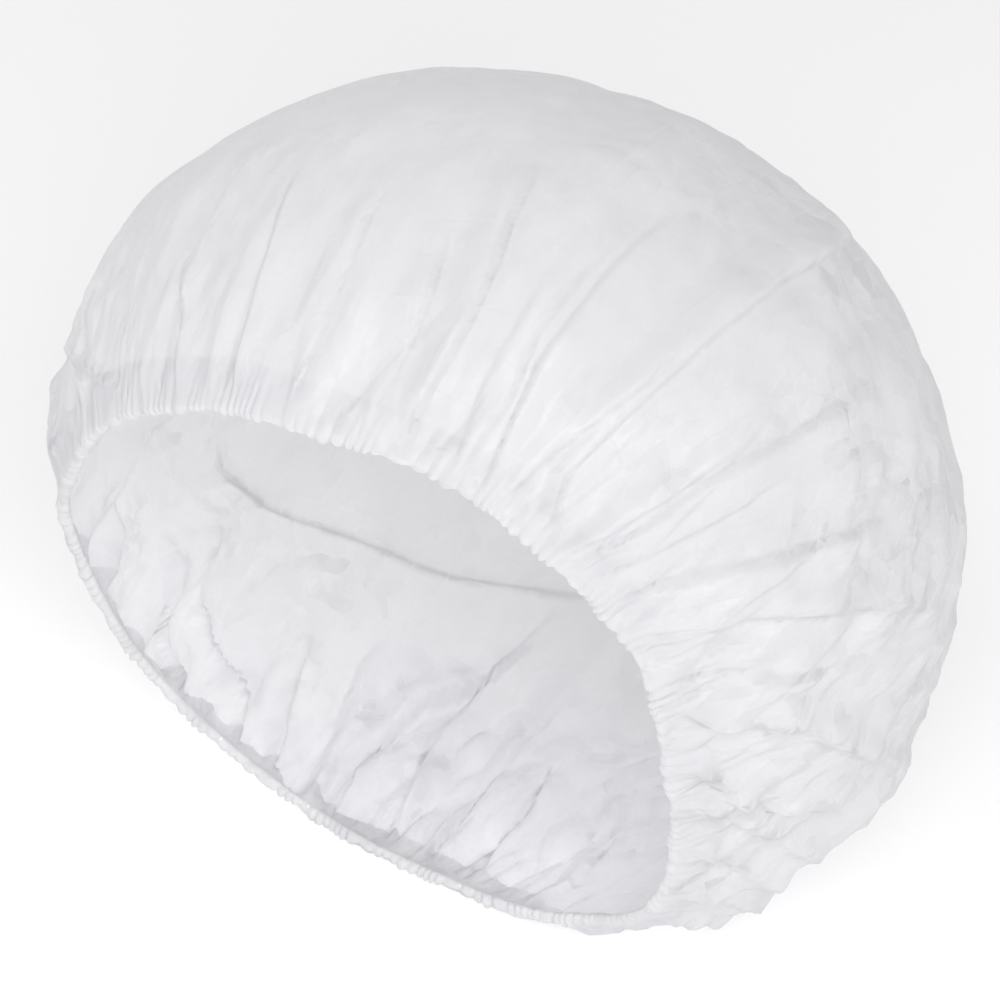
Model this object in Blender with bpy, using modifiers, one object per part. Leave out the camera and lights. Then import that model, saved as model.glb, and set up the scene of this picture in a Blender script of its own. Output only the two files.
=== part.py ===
"""Disposable shower cap of thin plastic film, puffed open and lying on its side.

The cap is one round sheet of film drawn in along its edge. The edge is folded into a hem,
and an elastic band lies in that hem. Both pieces are modelled in the cap's own frame, with
the middle of the widest ring at the origin and +Z out of the mouth. An empty then lays the
cap down, so that it rests on its flattened side and on the lowest part of its hem.
"""

import math

import bmesh
import bpy
import numpy as np
from mathutils import Matrix

# Sizes of the puffed cap, in metres.
BODY_WIDTH = 0.254
CROWN_DEPTH = 0.110
MOUTH_DEPTH = 0.068
MOUTH_WIDTH = 0.202
FILM_WALL = 0.001

# The elastic band and the hem around it.
ELASTIC_THICKNESS = 0.0016
HEM_CLEARANCE = 0.0003
HEM_PUFF = 0.0012
HEM_TURN = math.radians(235.0)

# How the cap lies: the mouth looks along -Y and a little down.
MOUTH_TILT = math.radians(-18.0)
RESTING_FLAT = 0.010

# Gathers drawn by the elastic. Each is one ridge and one valley of the film.
GATHERS = 48
GATHER_HEIGHT = 0.0034
GATHER_START = 0.66

# Rows of the film's grid, from the crown to the hem, and around the hem. The crowding
# draws the rows together towards the mouth.
BODY_ROWS = 18
HEM_ROWS = 7
ROW_CROWDING = 1.15

# Shares of the way from crown to hem: the smooth middle of the crown, and where folds and
# gathers settle into the hem. The crease gives how sharp a fold's ridge is, 2 for round.
CROWN_SHARE = 0.25
SETTLE_SHARE = 0.90
CREASE = 1.5

# Long folds that fan out from the mouth. Angles are in degrees around the mouth, 0 at the
# right and 90 at the top as seen from in front. "angle" is where the fold leaves the hem,
# "lean" how far it swings on its way to the crown, "start" and "end" its shares of the way
# from crown to hem, "height" its share of the body's width and "spread" its half width.
LONG_FOLDS = [
    dict(angle=140, lean=6, start=0.50, end=1.0, height=0.016, spread=7),
    dict(angle=121, lean=4, start=0.46, end=1.0, height=0.011, spread=6),
    dict(angle=103, lean=3, start=0.38, end=1.0, height=0.010, spread=6),
    dict(angle=86, lean=-2, start=0.30, end=1.0, height=0.014, spread=6),
    dict(angle=71, lean=-3, start=0.22, end=1.0, height=0.020, spread=6),
    dict(angle=58, lean=-4, start=0.24, end=1.0, height=0.013, spread=5),
    dict(angle=44, lean=-4, start=0.14, end=1.0, height=0.024, spread=6),
    dict(angle=31, lean=-18, start=0.30, end=1.0, height=0.016, spread=6),
    dict(angle=14, lean=-26, start=0.34, end=1.0, height=0.026, spread=8),
    dict(angle=-4, lean=-22, start=0.42, end=1.0, height=0.018, spread=7),
    dict(angle=-26, lean=-16, start=0.40, end=1.0, height=0.020, spread=8),
    dict(angle=-48, lean=-10, start=0.46, end=1.0, height=0.014, spread=7),
    dict(angle=-72, lean=4, start=0.50, end=1.0, height=0.010, spread=7),
    dict(angle=-98, lean=8, start=0.34, end=1.0, height=-0.018, spread=7),
    dict(angle=-116, lean=10, start=0.30, end=1.0, height=-0.022, spread=8),
    dict(angle=-134, lean=8, start=0.36, end=1.0, height=-0.016, spread=7),
    dict(angle=-152, lean=4, start=0.40, end=1.0, height=-0.020, spread=8),
    dict(angle=-172, lean=-2, start=0.46, end=1.0, height=-0.014, spread=8),
    dict(angle=166, lean=-6, start=0.50, end=1.0, height=0.014, spread=8),
]

# Broad swells and dents of the body. "angle" and "share" give the middle, "across" and
# "along" its half widths in degrees and in shares, "height" a share of the body's width.
SWELLS = [
    dict(angle=135, share=0.50, across=60, along=0.42, height=-0.038),
    dict(angle=80, share=0.40, across=40, along=0.30, height=-0.010),
    dict(angle=-62, share=0.80, across=18, along=0.16, height=0.022),
    dict(angle=-40, share=0.76, across=14, along=0.14, height=0.012),
    dict(angle=-16, share=0.64, across=9, along=0.14, height=-0.026),
    dict(angle=8, share=0.62, across=16, along=0.20, height=0.016),
    dict(angle=-34, share=0.62, across=7, along=0.10, height=-0.018),
    dict(angle=30, share=0.50, across=22, along=0.24, height=0.014),
    dict(angle=160, share=0.88, across=16, along=0.12, height=0.012),
    dict(angle=-120, share=0.62, across=26, along=0.18, height=-0.012),
    dict(angle=-160, share=0.74, across=16, along=0.14, height=-0.014),
]

# The mouth is not quite a circle. "wide" is a share of the mouth's half width and
# "forward" a share of the mouth's depth, at "angle" degrees around the mouth.
MOUTH_STATIONS = [
    dict(angle=-150, wide=0.000, forward=-0.02),
    dict(angle=-120, wide=0.020, forward=-0.04),
    dict(angle=-90, wide=-0.035, forward=0.00),
    dict(angle=-60, wide=-0.015, forward=0.02),
    dict(angle=-30, wide=0.000, forward=0.08),
    dict(angle=0, wide=-0.035, forward=0.00),
    dict(angle=30, wide=0.010, forward=-0.09),
    dict(angle=60, wide=0.045, forward=-0.05),
    dict(angle=90, wide=0.005, forward=0.04),
    dict(angle=120, wide=-0.060, forward=0.03),
    dict(angle=150, wide=-0.080, forward=0.02),
    dict(angle=180, wide=-0.010, forward=-0.04),
]

FILM_COLOUR = (0.82, 0.82, 0.84, 1.0)
ELASTIC_COLOUR = (0.86, 0.86, 0.84, 1.0)

# Values that follow from the sizes.
BODY_RADIUS = BODY_WIDTH / 2
CROWN_ARC = math.pi / 2 * math.hypot(BODY_RADIUS, CROWN_DEPTH) / math.sqrt(2.0)
FRONT_ARC = math.hypot(MOUTH_DEPTH, BODY_RADIUS - MOUTH_WIDTH / 2)
WIDEST_SHARE = CROWN_ARC / (CROWN_ARC + FRONT_ARC)
CHANNEL_RADIUS = ELASTIC_THICKNESS / 2 + HEM_CLEARANCE
HEM_RADIUS = CHANNEL_RADIUS + FILM_WALL
COLUMNS = 2 * GATHERS
LIE_DOWN = Matrix.Rotation(math.pi / 2 - MOUTH_TILT, 4, "X")
UP_IN_CAP = np.array([0.0, math.cos(MOUTH_TILT), math.sin(MOUTH_TILT)])


def smooth_step(value):
    """Rises smoothly from 0 to 1 as value goes from 0 to 1, and stays level outside."""
    t = np.clip(value, 0.0, 1.0)
    return t * t * (3.0 - 2.0 * t)


def turned_from(angle, middle):
    """Angle in degrees from middle to angle, the short way round."""
    return (np.degrees(angle) - middle + 180.0) % 360.0 - 180.0


def mouth_offset(angle, column):
    """Value of one MOUTH_STATIONS column at any angle, eased between its stations."""
    total = np.zeros_like(angle)
    step = 360.0 / len(MOUTH_STATIONS)
    for station in MOUTH_STATIONS:
        near = np.abs(turned_from(angle, station["angle"])) / step
        total += station[column] * (1.0 - smooth_step(near))
    return total


def body_profile(angle, share):
    """Radius, distance forward and outward normal of the smooth body.

    The crown is a quarter of an ellipse from the pole to the widest ring. From there to the
    mouth the radius falls with the square of the distance forward.
    """
    mouth_radius = MOUTH_WIDTH / 2 * (1.0 + mouth_offset(angle, "wide"))
    mouth_depth = MOUTH_DEPTH * (1.0 + mouth_offset(angle, "forward"))
    draw_in = BODY_RADIUS - mouth_radius
    turn = math.pi / 2 * np.minimum(share / WIDEST_SHARE, 1.0)
    ahead = np.maximum((share - WIDEST_SHARE) / (1.0 - WIDEST_SHARE), 0.0)
    radius = BODY_RADIUS * np.sin(turn) - draw_in * ahead**2
    forward = mouth_depth * ahead - CROWN_DEPTH * np.cos(turn)
    crown_normal = np.stack([CROWN_DEPTH * np.sin(turn), -BODY_RADIUS * np.cos(turn)])
    front_normal = np.stack([mouth_depth, 2.0 * draw_in * ahead])
    normal = np.where(share < WIDEST_SHARE, crown_normal, front_normal)
    return radius, forward, normal / np.linalg.norm(normal, axis=0)


def fold_height(angle, share):
    """Sum of the long folds, each a rounded ridge that starts and ends softly."""
    total = np.zeros_like(angle)
    for fold in LONG_FOLDS:
        middle = fold["angle"] + fold["lean"] * (1.0 - share)
        across = turned_from(angle, middle) / fold["spread"]
        reach = (share - fold["start"]) / (fold["end"] - fold["start"])
        along = smooth_step(2.0 * reach) * (1.0 - 0.8 * smooth_step(4.0 * reach - 3.0))
        total += fold["height"] * BODY_WIDTH * along * np.exp(-np.abs(across) ** CREASE)
    return total


def swell_height(angle, share):
    """Sum of the broad swells and dents."""
    total = np.zeros_like(angle)
    for swell in SWELLS:
        across = turned_from(angle, swell["angle"]) / swell["across"]
        along = (share - swell["share"]) / swell["along"]
        total += swell["height"] * BODY_WIDTH * np.exp(-across * across - along * along)
    return total


def gather_wave(angle):
    """0 in the valley and up to 1 on the ridge of each gather, uneven around the mouth."""
    wave = 0.5 + 0.5 * np.cos(GATHERS * angle)
    uneven = 0.72 + 0.16 * np.sin(5.0 * angle + 0.7) + 0.12 * np.sin(13.0 * angle)
    return wave * uneven


def gather_height(angle, share):
    """Ridges drawn by the elastic, which fade out towards the crown."""
    rise = smooth_step((share - GATHER_START) / (SETTLE_SHARE - GATHER_START))
    settle = smooth_step((share - SETTLE_SHARE) / (1.0 - SETTLE_SHARE))
    height = GATHER_HEIGHT * rise * (1.0 - settle) + HEM_PUFF * settle
    return height * gather_wave(angle)


def in_cap_frame(angle, radius, forward):
    """Points at a radius around the cap's axis and a distance forward along it."""
    return np.stack([radius * np.cos(angle), radius * np.sin(angle), forward], axis=-1)


def centre_height():
    """Height of the cap's middle over the surface, with its side flattened."""
    share = np.linspace(0.0, 1.0, 100)
    under = np.full_like(share, -math.pi / 2)
    radius, forward, _ = body_profile(under, share)
    drop = radius * math.cos(MOUTH_TILT) - forward * math.sin(MOUTH_TILT)
    return drop.max() - RESTING_FLAT


def lift_over(points, height):
    """How far each point has to rise to lie at least a height over the surface."""
    short = height - (points @ UP_IN_CAP + centre_height())
    return np.maximum(short, 0.0)[..., None] * UP_IN_CAP


def elastic_points(angle):
    """Middle of the elastic just inside the body's end, and how far the surface lifts it.

    The lift leaves room for the hem under the elastic.
    """
    radius, forward, normal = body_profile(angle, np.ones_like(angle))
    inside = [radius - HEM_RADIUS * normal[0], forward - HEM_RADIUS * normal[1]]
    points = in_cap_frame(angle, *inside)
    lift = lift_over(points, HEM_RADIUS + HEM_PUFF)
    return points + lift, lift


def film_points(angle, share):
    """Outer surface of the body: the smooth profile moved out by swells, folds and gathers.

    Near the mouth it rises with the hem wherever the surface below lifts that.
    """
    radius, forward, normal = body_profile(angle, share)
    near_hem = smooth_step((share - SETTLE_SHARE) / (1.0 - SETTLE_SHARE))
    fade = smooth_step(share / CROWN_SHARE) * (1.0 - near_hem)
    out = fade * (fold_height(angle, share) + swell_height(angle, share))
    out = out + gather_height(angle, share)
    points = in_cap_frame(angle, radius + out * normal[0], forward + out * normal[1])
    points = points + near_hem[:, None] * elastic_points(angle)[1]
    return points + lift_over(points, 0.0)


def hem_points(angle, turn):
    """Outer surface of the hem, which turns around the elastic from the body's end."""
    _, _, normal = body_profile(angle, np.ones_like(angle))
    facing = np.arctan2(normal[1], normal[0]) + turn
    reach = HEM_RADIUS + HEM_PUFF * gather_wave(angle)
    around = in_cap_frame(angle, reach * np.cos(facing), reach * np.sin(facing))
    return elastic_points(angle)[0] + around


def film_grid():
    """Rows of points from the crown to the free edge of the hem, closed in angle."""
    angle = np.linspace(0.0, 2.0 * math.pi, COLUMNS + 1)
    rows = []
    for row in range(BODY_ROWS + 1):
        share = 1.0 - (1.0 - row / BODY_ROWS) ** ROW_CROWDING
        rows.append(film_points(angle, np.full_like(angle, share)))
    for row in range(1, HEM_ROWS + 1):
        rows.append(hem_points(angle, HEM_TURN * row / HEM_ROWS))
    return np.array(rows)


def plain_material(name, colour, roughness):
    """One Principled material with a plain colour."""
    material = bpy.data.materials.new(name)
    material.use_nodes = True
    shader = material.node_tree.nodes["Principled BSDF"]
    shader.inputs["Base Color"].default_value = colour
    shader.inputs["Roughness"].default_value = roughness
    shader.inputs["Metallic"].default_value = 0.0
    return material


def add_to_cap(name, data, material, collection, parent):
    """Links a new object to the cap's collection and seats it on the cap's empty."""
    piece = bpy.data.objects.new(name, data)
    data.materials.append(material)
    collection.objects.link(piece)
    piece.parent = parent
    return piece


def make_film(collection, parent):
    """The crown with its hem: a grid bent to the film's points, with a wall inside it."""
    points = film_grid()
    rows, columns = points.shape[:2]
    shell = bmesh.new()
    bmesh.ops.create_grid(shell, x_segments=columns - 1, y_segments=rows - 1, size=0.5)
    for vertex in shell.verts:
        column = round((vertex.co.x + 0.5) * (columns - 1))
        row = round((vertex.co.y + 0.5) * (rows - 1))
        vertex.co = points[row, column]
    bmesh.ops.remove_doubles(shell, verts=shell.verts, dist=0.00001)
    bmesh.ops.recalc_face_normals(shell, faces=shell.faces)
    mesh = bpy.data.meshes.new("film_crown")
    shell.to_mesh(mesh)
    shell.free()
    mesh.shade_smooth()
    material = plain_material("white_film", FILM_COLOUR, 0.35)
    film = add_to_cap("film_crown", mesh, material, collection, parent)
    wall = film.modifiers.new("film_wall", "SOLIDIFY")
    wall.thickness = FILM_WALL
    wall.offset = -1.0
    wall.use_even_offset = False
    return film


def make_elastic(collection, parent):
    """The elastic band, one closed loop through the hem."""
    angle = np.linspace(0.0, 2.0 * math.pi, COLUMNS, endpoint=False)
    points, _ = elastic_points(angle)
    curve = bpy.data.curves.new("elastic_band", "CURVE")
    curve.dimensions = "3D"
    curve.bevel_depth = ELASTIC_THICKNESS / 2
    curve.bevel_resolution = 2
    loop = curve.splines.new("POLY")
    loop.points.add(len(points) - 1)
    for spot, point in zip(loop.points, points):
        spot.co = (*point, 1.0)
    loop.use_cyclic_u = True
    material = plain_material("white_elastic", ELASTIC_COLOUR, 0.6)
    return add_to_cap("elastic_band", curve, material, collection, parent)


def lay_down(cap):
    """Turns the cap on its side and centres its outline over the origin."""
    turned = film_grid().reshape(-1, 3) @ np.array(LIE_DOWN.to_3x3()).T
    middle = (turned.min(axis=0) + turned.max(axis=0)) / 2
    cap.matrix_world = Matrix.Translation((-middle[0], -middle[1], centre_height())) @ LIE_DOWN


def make_cap():
    """Clears the scene and builds the cap."""
    for old in list(bpy.data.objects):
        bpy.data.objects.remove(old)
    collection = bpy.data.collections.new("shower_cap")
    bpy.context.scene.collection.children.link(collection)
    cap = bpy.data.objects.new("cap_axis", None)
    collection.objects.link(cap)
    make_film(collection, cap)
    make_elastic(collection, cap)
    lay_down(cap)


make_cap()
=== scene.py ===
# %% [markdown]
# # A disposable shower cap
#
# The cap is one round sheet of very thin white film. An elastic in its edge draws it in, so
# the edge turns into a ruffled hem and the film fans out from there in folds. Nothing in it
# is stiff: its whole look is how a flat sheet takes up a round form. So the sheet is made
# here the way it comes about: a smooth puffed form, spare film that has to go somewhere, a
# settling that turns it into folds, and then the sharp creases that film keeps.

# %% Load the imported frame
import math
import bpy
import numpy as np
from mathutils import Matrix, Vector


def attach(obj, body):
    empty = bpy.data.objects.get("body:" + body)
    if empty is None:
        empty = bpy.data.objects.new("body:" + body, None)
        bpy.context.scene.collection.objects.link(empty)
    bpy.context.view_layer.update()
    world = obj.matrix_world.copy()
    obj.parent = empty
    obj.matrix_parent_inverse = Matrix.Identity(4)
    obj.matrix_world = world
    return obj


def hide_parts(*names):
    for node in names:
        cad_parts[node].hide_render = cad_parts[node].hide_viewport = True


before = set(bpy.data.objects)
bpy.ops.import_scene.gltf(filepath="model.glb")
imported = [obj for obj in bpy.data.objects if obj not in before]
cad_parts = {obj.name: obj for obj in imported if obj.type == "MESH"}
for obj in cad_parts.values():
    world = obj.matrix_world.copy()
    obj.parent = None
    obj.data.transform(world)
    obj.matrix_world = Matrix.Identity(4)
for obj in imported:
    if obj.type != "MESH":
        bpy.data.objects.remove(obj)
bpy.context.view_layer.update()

# %% [markdown]
# ## Where the camera stands
#
# The photograph looks into the mouth from the front right and from above. A long lens from
# 1.3 metres keeps the near hem and the far crown at nearly the same scale. The camera could
# be aimed with a constraint, but a matrix of its three axes is exact and needs no evaluation.

# %% Camera
CAP_MIDDLE = np.array([-0.00643, -0.00568, 0.11471])
VIEW_AZIMUTH = math.radians(33.9)
VIEW_ELEVATION = math.radians(34.3)
VIEW_DISTANCE = 1.3
FRAME_WIDTH = 0.27
FRAME_SHIFT = (0.0008, -0.0043)

sin_a, cos_a = math.sin(VIEW_AZIMUTH), math.cos(VIEW_AZIMUTH)
sin_e, cos_e = math.sin(VIEW_ELEVATION), math.cos(VIEW_ELEVATION)
view_right = np.array([cos_a, sin_a, 0.0])
view_up = np.array([-sin_a * sin_e, cos_a * sin_e, cos_e])
view_back = np.array([sin_a * cos_e, -cos_a * cos_e, sin_e])
eye = CAP_MIDDLE + VIEW_DISTANCE * view_back
eye = eye + FRAME_SHIFT[0] * view_right + FRAME_SHIFT[1] * view_up

camera_data = bpy.data.cameras.new("camera")
camera_data.sensor_width = 36.0
camera_data.lens = camera_data.sensor_width * VIEW_DISTANCE / FRAME_WIDTH
camera = bpy.data.objects.new("camera", camera_data)
turn = Matrix([view_right, view_up, view_back]).transposed().to_4x4()
camera.matrix_world = Matrix.Translation(eye) @ turn
bpy.context.scene.collection.objects.link(camera)
bpy.context.scene.camera = camera
print("lens in mm", round(camera_data.lens, 1))

# %% [markdown]
# ## The puffed form
#
# Air and slack puff the sheet into a bag. Its crown is close to a flattened dome and its
# front draws in to the mouth. The form is a function of two parameters: the angle around the
# mouth, and the share of the way from the middle of the crown to the hem. The sizes are the
# CAD model's, so the film lies where the solid is.

# %% Sizes
BODY_RADIUS = 0.127
CROWN_DEPTH = 0.110
MOUTH_DEPTH = 0.068
MOUTH_RADIUS = 0.101
MOUTH_TILT = math.radians(-18.0)
SHEET_RADIUS = 0.2665
ELASTIC_RADIUS = 0.0008
HEM_RADIUS = 0.0021
HEM_PUFF = 0.0012
HEM_TIGHT = 0.00095
RUFFLE = 0.0011
SETTLE_SHARE = 0.90
CROWN_SHARE = 0.25

CROWN_ARC = math.pi / 2 * math.hypot(BODY_RADIUS, CROWN_DEPTH) / math.sqrt(2.0)
FRONT_ARC = math.hypot(MOUTH_DEPTH, BODY_RADIUS - MOUTH_RADIUS)
BODY_ARC = CROWN_ARC + FRONT_ARC
WIDEST_SHARE = CROWN_ARC / BODY_ARC
LIE_DOWN = np.array(Matrix.Rotation(math.pi / 2 - MOUTH_TILT, 3, "X"))
UP_IN_CAP = np.array([0.0, math.cos(MOUTH_TILT), math.sin(MOUTH_TILT)])

# angle, wide, forward: the mouth is not quite a circle.
MOUTH_STATIONS = [
    (-150, 0.000, -0.02), (-120, 0.020, -0.04), (-90, -0.035, 0.00), (-60, -0.015, 0.02),
    (-30, 0.000, 0.08), (0, -0.035, 0.00), (30, 0.010, -0.09), (60, 0.045, -0.05),
    (90, 0.005, 0.04), (120, -0.060, 0.03), (150, -0.080, 0.02), (180, -0.010, -0.04),
]

# angle, share, half width across in degrees, half width along in shares, height in metres.
SWELLS = [
    (135, 0.50, 60, 0.42, -0.0084), (80, 0.40, 40, 0.30, -0.0025), (-62, 0.80, 18, 0.16, 0.0044),
    (-40, 0.76, 14, 0.14, 0.0012), (-16, 0.64, 9, 0.14, 0.0002), (8, 0.62, 16, 0.20, 0.0004),
    (-34, 0.62, 7, 0.10, -0.0010), (30, 0.50, 22, 0.24, 0.0014), (148, 0.88, 12, 0.08, 0.0026),
    (-120, 0.62, 26, 0.18, -0.0030), (-160, 0.74, 16, 0.14, -0.0040), (150, 0.70, 20, 0.16, -0.0020),
]


# %% Form functions
def ease(value):
    """Rises smoothly from 0 to 1 as value goes from 0 to 1, and stays level outside."""
    t = np.clip(value, 0.0, 1.0)
    return t * t * (3.0 - 2.0 * t)


def degrees_from(angle, middle):
    """Degrees from middle to angle, the short way round."""
    return (np.degrees(angle) - middle + 180.0) % 360.0 - 180.0


def mouth_value(angle, column):
    """One column of MOUTH_STATIONS at any angle, eased between its stations."""
    step = 360.0 / len(MOUTH_STATIONS)
    total = np.zeros_like(angle)
    for station in MOUTH_STATIONS:
        near = np.abs(degrees_from(angle, station[0])) / step
        total = total + station[column] * (1.0 - ease(near))
    return total


def profile(angle, share):
    """Radius, distance forward and outward normal of the smooth form.

    Up to the widest ring it is a quarter of an ellipse. From there to the mouth the radius
    falls with the square of the distance forward.
    """
    mouth_radius = MOUTH_RADIUS * (1.0 + mouth_value(angle, 1))
    mouth_depth = MOUTH_DEPTH * (1.0 + mouth_value(angle, 2))
    draw_in = BODY_RADIUS - mouth_radius
    turn = math.pi / 2 * np.minimum(share / WIDEST_SHARE, 1.0)
    ahead = np.maximum((share - WIDEST_SHARE) / (1.0 - WIDEST_SHARE), 0.0)
    radius = BODY_RADIUS * np.sin(turn) - draw_in * ahead**2
    forward = mouth_depth * ahead - CROWN_DEPTH * np.cos(turn)
    crown = np.stack([CROWN_DEPTH * np.sin(turn), -BODY_RADIUS * np.cos(turn)])
    front = np.stack([mouth_depth + 0.0 * ahead, 2.0 * draw_in * ahead])
    normal = np.where(share < WIDEST_SHARE, crown, front)
    return radius, forward, normal / np.linalg.norm(normal, axis=0)


def around_axis(angle, radius, forward):
    """Points at a radius around the cap's axis and a distance forward along it."""
    return np.stack([radius * np.cos(angle), radius * np.sin(angle), forward], axis=-1)


def lift_over(points, height):
    """How far each point rises along the surface's upward direction to clear a height."""
    short = height - (points @ UP_IN_CAP + CAP_MIDDLE[2])
    return np.maximum(short, 0.0)[..., None] * UP_IN_CAP


def elastic_line(angle):
    """Middle of the elastic, just inside the form's end, and how far the surface lifts it."""
    radius, forward, normal = profile(angle, np.ones_like(angle))
    points = around_axis(
        angle, radius - HEM_RADIUS * normal[0], forward - HEM_RADIUS * normal[1]
    )
    lift = lift_over(points, HEM_RADIUS + HEM_PUFF)
    return points + lift, lift


def swell_height(angle, share):
    """Sum of round bumps, each a bell in angle times a bell in share."""
    total = np.zeros_like(angle)
    for middle, at, across, along, height in SWELLS:
        far = (degrees_from(angle, middle) / across) ** 2 + ((share - at) / along) ** 2
        total = total + height * np.exp(-far)
    return total


# %% [markdown]
# ## Long folds
#
# A few folds run from the hem far over the body, where the film was gripped and pulled. They
# are ridges of the form before it settles. Each one leaves the hem at an angle, leans on
# its way to the crown and ends softly.

# %% Long folds
# angle at the hem, lean in degrees, share where it starts, height in metres, half width.
LONG_FOLDS = [
    (140, 6, 0.50, 0.0026, 6), (121, 4, 0.56, 0.0016, 5), (103, 3, 0.60, 0.0014, 5),
    (86, -2, 0.36, 0.0020, 5), (71, -3, 0.24, 0.0034, 5), (58, -4, 0.30, 0.0020, 4),
    (44, -4, 0.16, 0.0028, 5), (31, -18, 0.34, 0.0028, 5), (14, -26, 0.36, 0.0050, 7),
    (-4, -22, 0.42, 0.0036, 6), (-26, -16, 0.40, 0.0040, 7), (-48, -10, 0.46, 0.0030, 6),
    (-72, 4, 0.50, 0.0024, 6), (-98, 8, 0.34, -0.0036, 6), (-116, 10, 0.30, -0.0044, 7),
    (-134, 8, 0.36, -0.0036, 6), (-152, 4, 0.40, -0.0042, 7), (-172, -2, 0.46, -0.0030, 7),
    (166, -6, 0.50, 0.0030, 7),
]


def long_fold_height(angle, share):
    """Sum of ridges: sharp across (a tent rounded at its foot) and eased at both ends."""
    total = np.zeros_like(angle)
    for at_hem, lean, start, height, spread in LONG_FOLDS:
        across = degrees_from(angle, at_hem + lean * (1.0 - share)) / spread
        reach = (share - start) / (1.0 - start)
        along = ease(2.0 * reach) * (1.0 - 0.7 * ease(4.0 * reach - 3.0))
        total = total + height * along * np.exp(-np.abs(across) ** 1.3)
    return total


def form(angle, share):
    """The form's points: the profile moved along its normal by swells and long folds."""
    radius, forward, normal = profile(angle, share)
    near_hem = ease((share - SETTLE_SHARE) / (1.0 - SETTLE_SHARE))
    fade = ease(share / CROWN_SHARE) * (1.0 - near_hem)
    out = fade * (long_fold_height(angle, share) + swell_height(angle, share))
    points = around_axis(angle, radius + out * normal[0], forward + out * normal[1])
    points = points + near_hem[..., None] * elastic_line(angle)[1]
    return points + lift_over(points, 0.0)


def angles(count):
    """Evenly spaced angles of a closed ring."""
    return np.linspace(0.0, 2.0 * math.pi, count, endpoint=False)


def form_grid(columns, shares):
    """The form on a grid: one row for each share, one column for each angle."""
    angle, share = np.meshgrid(angles(columns), shares)
    return form(angle, share)


# %% [markdown]
# ## Spare film that settles into folds
#
# The flat sheet is far wider than the mouth that it is drawn into, so near the hem there is
# film to spare, and thin film takes up spare width as folds. They could be drawn one by one,
# but folds that share a length of hem join and fade in a way that is hard to draw. So a
# grid of points is settled: neighbours are moved until they are as far apart as the film
# between them is long, a little bending resistance keeps the folds open, and a weak pull
# holds the whole near the puffed form. It is done coarse first and then on finer grids, so
# large folds come before small ones. Blender's own Cloth hardly moved so stiff and light a
# film in the time there is, and this takes seconds.

# %% Settling
RING_LEVELS = [
    dict(spare=0.004, spare_hem=0.03, along=0.998, steps=150, push=4e-6, jolt=0.00015, bend=0.02),
    dict(spare=0.006, spare_hem=0.06, along=0.998, steps=120, push=3e-6, jolt=0.0001, bend=0.02),
    dict(spare=0.006, spare_hem=0.12, along=0.998, steps=90, push=2e-6, jolt=0.00005, bend=0.02),
]
FIRST_COLUMNS = 64
FIRST_ROWS = 24
FIRST_SHARE = 0.03
HOLD = 0.006
MOMENTUM = 0.85
PULL = 0.9


def beside(grid, step):
    """The grid's columns turned by a step, so that each point meets its neighbour."""
    return np.roll(grid, -step, axis=1)


def length(vectors):
    """Length of each vector, kept off zero."""
    return np.sqrt((vectors * vectors).sum(-1)) + 1e-9


def bend_of(grid):
    """How far each point lies off the middle of its neighbours, zero on the end rows."""
    off = (beside(grid, 1) + beside(grid, -1)) / 2 - grid
    off[1:-1] += (grid[2:] + grid[:-2]) / 2 - grid[1:-1]
    off[0] = 0.0
    off[-1] = 0.0
    return off


def outward(grid):
    """Unit normals of a grid in angle and share, from its neighbours' differences."""
    side = beside(grid, 1) - beside(grid, -1)
    normal = np.cross(side, np.gradient(grid, axis=0))
    return normal / length(normal)[..., None]


def pulled(vectors, wanted, strength):
    """The move that brings each vector towards its wanted length."""
    return (strength * (1.0 - wanted / length(vectors)))[..., None] * vectors


def settle(grid, rest, around, along, level):
    """Moves the grid's points until the film between them has its own length."""
    across = np.sqrt(((around[1:] + around[:-1]) / 2) ** 2 + along**2)
    before = grid.copy()
    for _ in range(level["steps"]):
        now = grid
        grid = grid + MOMENTUM * (grid - before)
        before = now
        move = pulled(beside(grid, 1) - grid, around, PULL / 2)
        grid = grid + (move - beside(move, -1)) / 2
        move = pulled(grid[1:] - grid[:-1], along, PULL / 2)
        grid[:-1] += move / 2
        grid[1:] -= move / 2
        for step in (1, -1):
            move = pulled(beside(grid, step)[1:] - grid[:-1], across, PULL / 4)
            grid[:-1] += move / 2
            grid[1:] -= beside(move, -step) / 2
        grid = grid - level["bend"] * bend_of(bend_of(grid))
        grid = grid + level["push"] * outward(grid) + HOLD * (rest - grid)
        grid = grid + lift_over(grid, 0.0)
        grid[0] = rest[0]
        grid[-1] = rest[-1]
    return grid


def between(values, axis):
    """Midpoints along one axis by the four-point rule: 9/16 of the near, -1/16 of the far."""
    near = np.roll(values, -1, axis)
    far = np.roll(values, 1, axis) + np.roll(values, -2, axis)
    return (9.0 * (values + near) - far) / 16.0


def twice_columns(grid):
    """The closed grid with a new column between each two."""
    fine = np.empty((grid.shape[0], 2 * grid.shape[1], 3))
    fine[:, 0::2] = grid
    fine[:, 1::2] = between(grid, 1)
    return fine


def twice_rows(grid):
    """The open grid with a new row between each two, its ends carried on straight."""
    longer = np.concatenate([2 * grid[:1] - grid[1:2], grid, 2 * grid[-1:] - grid[-2:-1]])
    fine = np.empty((2 * grid.shape[0] - 1, grid.shape[1], 3))
    fine[0::2] = grid
    fine[1::2] = between(longer, 0)[1:-2]
    return fine


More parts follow.
